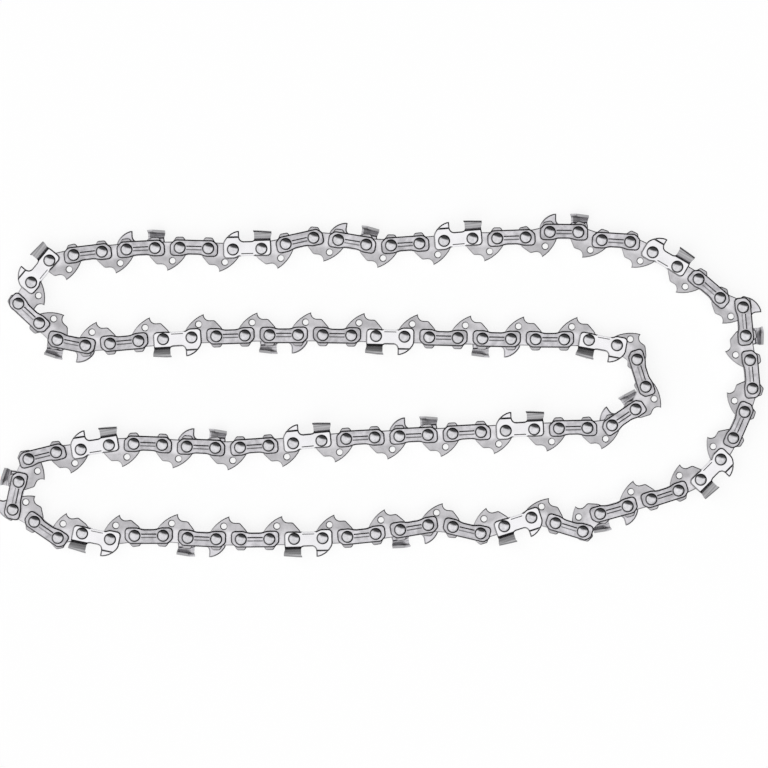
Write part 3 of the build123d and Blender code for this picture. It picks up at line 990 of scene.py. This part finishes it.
def metal(name, base, finish, marks):
    """Steel in its finish: clouds of tumbling, fine grain, each piece's own lightness, painted shade on
    chamfers and slopes, and marks.
    """
    material, tree = new_material(name)
    place = add_node(tree, "TexCoord")["Object"]
    clouds = add_node(
        tree, "TexNoise", {"Vector": place, "Scale": per_metre(finish.cloud_mm), "Detail": 3.0}
    )["Fac"]
    # Real grain is finer than a pixel, so this is as coarse as it needs to be to show
    grains = add_node(
        tree, "TexNoise", {"Vector": place, "Scale": per_metre(finish.grain_mm), "Detail": 2.0}
    )["Fac"]
    own = add_node(tree, "Attribute", attribute_name=TONE)["Fac"]
    edge_shade = add_node(tree, "Attribute", attribute_name=EDGE)["Fac"]
    factors = []
    # The edge attribute darkens chamfers and slopes with painted shade
    for value, (low, high), (at_low, at_high) in (
        (own, TONE_RANGE, (1.0 - finish.tone, 1.0)),
        (clouds, NOISE_RANGE, (1.0 - finish.cloud, 1.0)),
        (grains, NOISE_RANGE, (1.0 - finish.grain, 1.0)),
        (edge_shade, (0.0, 1.0), (1.0, finish.edge)),
    ):
        limits = {"From Min": low, "From Max": high, "To Min": at_low, "To Max": at_high}
        factors.append(add_node(tree, "MapRange", {"Value": value, **limits})["Result"])
    spot = link_spot(tree)
    factors += [mark(tree, spot) for mark in marks]
    shade = factors[0]
    for factor in factors[1:]:
        shade = add_node(tree, "Math", {0: shade, 1: factor}, operation="MULTIPLY")[0]
    coloured = add_node(tree, "VectorMath", {0: tuple(base), "Scale": shade}, operation="SCALE")["Vector"]
    rough = add_node(
        tree, "MapRange",
        {"Value": clouds, "From Min": NOISE_RANGE[0], "From Max": NOISE_RANGE[1],
         "To Min": finish.roughness * ROUGH_SPREAD[0], "To Max": finish.roughness * ROUGH_SPREAD[1]},
    )["Result"]
    bumped = add_node(
        tree, "Bump", {"Height": grains, "Strength": finish.bump, "Distance": GRAIN_DEPTH}
    )["Normal"]
    shader = add_node(
        tree, "BsdfPrincipled",
        {"Base Color": coloured, "Metallic": 1.0, "Roughness": rough, "Normal": bumped},
    )["BSDF"]
    add_node(tree, "OutputMaterial", {"Surface": shader})
    return material


def hard_chrome(lay, settings):
    """Satin hard chrome: nearly white, greyer on the rolled tooth, painted shade in the gauge's step and the
    bend, a painted shadow round each rivet.
    """
    s = in_mm(settings.cutter)
    finish = SimpleNamespace(
        roughness=0.22, cloud_mm=4.0, cloud=0.05, grain_mm=0.4, grain=0.04, tone=0.03, bump=0.05, edge=0.34
    )
    far = lay.side_half * 2  # past the ends of the link
    seat = in_mm(settings.rivet).radius
    step = (s.step_low, s.step_high - STEP_LIT)
    bend = (s.tooth_base - BEND_BELOW, s.tooth_base + BEND_ABOVE)
    # A painted shadow round each rivet, painted shade in the gauge's step and the tooth's bend, and drawn
    # lines
    marks = [
        lambda tree, spot: rivet_shadow_rings(tree, spot, lay.side_half, seat),
        lambda tree, spot: patch(tree, (spot.x, -far, 0.0), (spot.y, *step), tone=0.08, fade=PAINTED_SHADE_FADE),
        lambda tree, spot: patch(tree, (spot.x, 0.0, far), (spot.y, *bend), tone=0.02, fade=PAINTED_SHADE_FADE),
        lambda tree, spot: drawn_lines(tree, spot, bend[1], line_mm=0.6, darkest=0.25, lightest=0.53),
    ]
    return metal("hard_chrome_satin", settings.finishes.chrome, finish, marks)


def ground_steel(lay, settings):
    """Bare steel inside a cutter: drawn lines on the tooth, dark where the top plate shades it."""
    s = in_mm(settings.cutter)
    finish = SimpleNamespace(
        roughness=0.32, cloud_mm=3.0, cloud=0.12, grain_mm=0.35, grain=0.10, tone=0.10, bump=0.12, edge=0.6
    )
    far = lay.side_half * 2  # past the ends of the link
    under = s.tooth_height - s.top_thickness
    shaded = (under - SHADE_BELOW, under + SHADE_ABOVE)
    marks = [
        lambda tree, spot: drawn_lines(tree, spot, s.tooth_base, line_mm=0.5, darkest=0.31, lightest=0.88),
        lambda tree, spot: patch(tree, (spot.x, 0.0, far), (spot.y, *shaded), tone=0.4),
    ]
    return metal("carbon_steel_ground_bare", settings.finishes.ground, finish, marks)


def strap_steel(lay, settings):
    """Tumbled, oiled carbon steel: grey, with clouds where the stones rubbed it, a painted shadow round each
    rivet and painted shade on its chamfers and rib.
    """
    finish = SimpleNamespace(
        roughness=0.26, cloud_mm=2.0, cloud=0.34, grain_mm=0.35, grain=0.14, tone=0.16, bump=0.12, edge=0.2
    )
    seat = in_mm(settings.rivet).radius
    # A painted shadow round each rivet
    marks = [lambda tree, spot: rivet_shadow_rings(tree, spot, lay.side_half, seat)]
    return metal("carbon_steel_tumbled_oiled", settings.finishes.strap, finish, marks)


def drive_link_steel(lay, settings):
    """Stamped carbon steel, tumbled: bright between the straps, with darker crowns and tang."""
    s = in_mm(settings.tie_strap)
    finish = SimpleNamespace(
        roughness=0.28, cloud_mm=3.0, cloud=0.2, grain_mm=0.30, grain=0.12, tone=0.12, bump=0.12, edge=0.75
    )
    far = lay.drive_half * 2  # past the ends of the link
    crowns = (s.top - CROWN_BELOW, far)
    tang = (-in_mm(settings.drive_link).tang_depth, -s.foot - TANG_BELOW)
    marks = [
        lambda tree, spot: patch(tree, (spot.reach, -far, far), (spot.y, *crowns), tone=0.7),
        lambda tree, spot: patch(tree, (spot.reach, -far, far), (spot.y, *tang), tone=0.76, fade=TANG_FADE),
    ]
    return metal("carbon_steel_stamped", settings.finishes.drive_link, finish, marks)


def rivet_steel(settings):
    """Rivet steel, spun bright: a clear dark and light reflection on each dome, and painted shade on its
    rim.
    """
    finish = SimpleNamespace(
        roughness=0.15, cloud_mm=0.9, cloud=0.22, grain_mm=0.35, grain=0.1, tone=0.1, bump=0.4, edge=0.17
    )
    return metal("rivet_steel_spun_bright", settings.finishes.rivet, finish, [])


def floor_material(studio):
    """Matt white paper: white to the eye and in reflections, with the chain's shadow on it."""
    material, tree = new_material("white_paper_matt")
    path = add_node(tree, "LightPath")
    seen = path["Is Camera Ray"]
    for ray in ("Is Glossy Ray", "Is Transmission Ray"):
        seen = add_node(tree, "Math", {0: seen, 1: path[ray]}, operation="MAXIMUM")[0]
    glow = add_node(tree, "Math", {0: seen, 1: FLOOR_GLOW}, operation="MULTIPLY")[0]
    light = add_node(tree, "Emission", {"Color": WHITE, "Strength": glow})[0]
    tinted = [FLOOR_DIFFUSE * channel for channel in studio.floor]
    paper = add_node(tree, "BsdfDiffuse", {"Color": (*tinted, 1.0)})[0]
    both = add_node(tree, "AddShader", {0: light, 1: paper})[0]
    add_node(tree, "OutputMaterial", {"Surface": both})
    return material


def studio_world(studio):
    """White light all round, but for the studio's dark end and skirting; white to the camera."""
    world = bpy.data.worlds.new("white_studio")
    world.use_nodes = True
    tree = world.node_tree
    tree.nodes.clear()
    ray = add_node(tree, "TexCoord")["Generated"]
    towards = add_node(tree, "VectorMath", {0: ray, 1: DARK_SIDE}, operation="DOT_PRODUCT")["Value"]
    begin, full = (math.cos(math.radians(angle)) for angle in DARK_EDGE)
    dark = add_node(
        tree, "MapRange",
        {"Value": towards, "From Min": begin, "From Max": full, "To Min": 0.0, "To Max": DARK_SHARE},
        interpolation_type="SMOOTHSTEP",
    )["Result"]
    level = add_node(tree, "VectorMath", {0: ray, 1: (1.0, 1.0, 0.0)}, operation="MULTIPLY")["Vector"]
    level = add_node(tree, "VectorMath", {0: level}, operation="NORMALIZE")["Vector"]
    window = add_node(tree, "VectorMath", {0: level, 1: WINDOW_SIDE}, operation="DOT_PRODUCT")["Value"]
    share = add_node(
        tree, "MapRange",
        {"Value": window, "From Min": WINDOW_EDGE[0], "From Max": WINDOW_EDGE[1],
         "To Min": SKIRTING_SHARE[0], "To Max": SKIRTING_SHARE[1]},
    )["Result"]
    height = add_node(tree, "SeparateXYZ", {"Vector": ray})["Z"]
    begin, full = (math.sin(math.radians(angle)) for angle in SKIRTING)
    skirting = add_node(
        tree, "MapRange",
        {"Value": height, "From Min": full, "From Max": begin, "To Min": share, "To Max": 0.0},
        interpolation_type="SMOOTHSTEP",
    )["Result"]
    dark = add_node(tree, "Math", {0: dark, 1: skirting}, operation="MAXIMUM")[0]
    camera = add_node(tree, "LightPath")["Is Camera Ray"]
    unseen = add_node(tree, "Math", {0: 1.0, 1: camera}, operation="SUBTRACT")[0]
    share = add_node(tree, "Math", {0: dark, 1: unseen}, operation="MULTIPLY")[0]
    shade = add_node(
        tree, "Mix", {"Factor": share, MIX_A: WHITE, MIX_B: (*studio.shade, 1.0)}, data_type="RGBA"
    )[MIX_RESULT]
    light = add_node(tree, "Background", {"Color": shade, "Strength": 1.0})[0]
    add_node(tree, "OutputWorld", {"Surface": light})
    bpy.context.scene.world = world


def studio_camera(studio):
    """Camera straight above the photo's middle, with a long lens."""
    data = bpy.data.cameras.new("camera")
    camera = bpy.data.objects.new("camera", data)
    bpy.context.scene.collection.objects.link(camera)
    camera.location = (PHOTO_CENTRE[0] * MM, PHOTO_CENTRE[1] * MM, studio.camera_height)
    covered = PHOTO_PIXELS * PHOTO_MM_PER_PIXEL * MM
    data.lens = data.sensor_width * studio.camera_height / covered
    bpy.context.scene.camera = camera


def studio_floor(studio):
    """Plain pale floor just under the chain."""
    bm = bmesh.new()
    bmesh.ops.create_grid(bm, x_segments=1, y_segments=1, size=FLOOR_SIZE / 2)
    bmesh.ops.translate(bm, verts=bm.verts, vec=-UP * FLOOR_DROP)
    floor = new_object("floor", bm)
    floor.data.materials.append(floor_material(studio))
    floor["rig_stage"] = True


class SAWCHAIN_OT_drive_links(bpy.types.Operator):
    """Dress every drive link"""

    bl_idname = "saw_chain.drive_links"
    bl_label = "Drive links"

    def execute(self, context):
        settings = context.scene.saw_chain
        lay = Lay()
        shape = shape_mesh("drive_link", drive_link_shape(lay, settings))
        steel = drive_link_steel(lay, settings)
        for node in nodes_of("_drive_links"):
            copies = [(shape, place) for place in lay.drive_links(node)]
            lay_copies(node, copies, [steel])
        return {"FINISHED"}


class SAWCHAIN_OT_tie_straps(bpy.types.Operator):
    """Dress every tie strap"""

    bl_idname = "saw_chain.tie_straps"
    bl_label = "Tie straps"

    def execute(self, context):
        settings = context.scene.saw_chain
        lay = Lay()
        near = tie_strap_shape(lay, settings)
        far = shape_mesh("far_tie_strap", far_side(near))
        near = shape_mesh("near_tie_strap", near)
        steel = strap_steel(lay, settings)
        for node in nodes_of("_tie_straps"):
            copies = [(far if is_far else near, place) for place, is_far in lay.plates(node)]
            lay_copies(node, copies, [steel])
        return {"FINISHED"}


class SAWCHAIN_OT_cutters(bpy.types.Operator):
    """Dress the left-hand and right-hand cutters"""

    bl_idname = "saw_chain.cutters"
    bl_label = "Cutters"

    def execute(self, context):
        settings = context.scene.saw_chain
        lay = Lay()
        left = left_cutter_shape(lay, settings)
        right = shape_mesh("right_cutter", far_side(left))
        left = shape_mesh("left_cutter", left)
        finishes = [hard_chrome(lay, settings), ground_steel(lay, settings)]
        for hand, shape in (("_left_cutters", left), ("_right_cutters", right)):
            for node in nodes_of(hand):
                copies = [(shape, place) for place, _ in lay.plates(node)]
                lay_copies(node, copies, finishes)
        return {"FINISHED"}


class SAWCHAIN_OT_rivets(bpy.types.Operator):
    """Dress every rivet"""

    bl_idname = "saw_chain.rivets"
    bl_label = "Rivets"

    def execute(self, context):
        settings = context.scene.saw_chain
        lay = Lay()
        shape = shape_mesh("rivet", rivet_shape(lay, settings))
        steel = rivet_steel(settings)
        for node in nodes_of("_rivets"):
            copies = [(shape, place) for place in lay.rivet_places(node)]
            lay_copies(node, copies, [steel], has_flats=False)
        return {"FINISHED"}


class SAWCHAIN_OT_stage(bpy.types.Operator):
    """Set the floor, the light and the camera"""

    bl_idname = "saw_chain.stage"
    bl_label = "Stage"

    def execute(self, context):
        studio = context.scene.saw_chain.studio
        context.scene.view_settings.view_transform = "Standard"
        studio_floor(studio)
        studio_world(studio)
        studio_camera(studio)
        return {"FINISHED"}


OPERATORS = [
    SAWCHAIN_OT_drive_links,
    SAWCHAIN_OT_tie_straps,
    SAWCHAIN_OT_cutters,
    SAWCHAIN_OT_rivets,
    SAWCHAIN_OT_stage,
]


class SAWCHAIN_PT_sidebar(bpy.types.Panel):
    """Saw chain pieces and their sizes"""

    bl_idname = "SAWCHAIN_PT_sidebar"
    bl_label = "Saw chain"
    bl_space_type = "VIEW_3D"
    bl_region_type = "UI"
    bl_category = "Saw chain"

    def draw(self, context):
        settings = context.scene.saw_chain
        for operator in OPERATORS:
            self.layout.operator(operator.bl_idname)
        for part in settings.__annotations__:
            group = getattr(settings, part)
            box = self.layout.box()
            for name in group.__annotations__:
                box.prop(group, name)


CLASSES = [
    PlateSizes,
    DriveLinkSizes,
    TieStrapSizes,
    CutterSizes,
    RivetSizes,
    Finishes,
    StudioSettings,
    ChainSettings,
    *OPERATORS,
    SAWCHAIN_PT_sidebar,
]


def register():
    for cls in CLASSES:
        bpy.utils.register_class(cls)
    bpy.types.Scene.saw_chain = PointerProperty(type=ChainSettings)


def unregister():
    del bpy.types.Scene.saw_chain
    for cls in reversed(CLASSES):
        bpy.utils.unregister_class(cls)


def main():
    register()
    bpy.ops.saw_chain.drive_links()
    bpy.ops.saw_chain.tie_straps()
    bpy.ops.saw_chain.cutters()
    bpy.ops.saw_chain.rivets()
    bpy.ops.saw_chain.stage()
    boxes = {"cad": CAD_BOX, "visual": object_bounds()}
    {name: [list(corner) for corner in box] for name, box in boxes.items()}


if __name__ == "__main__":
    main()
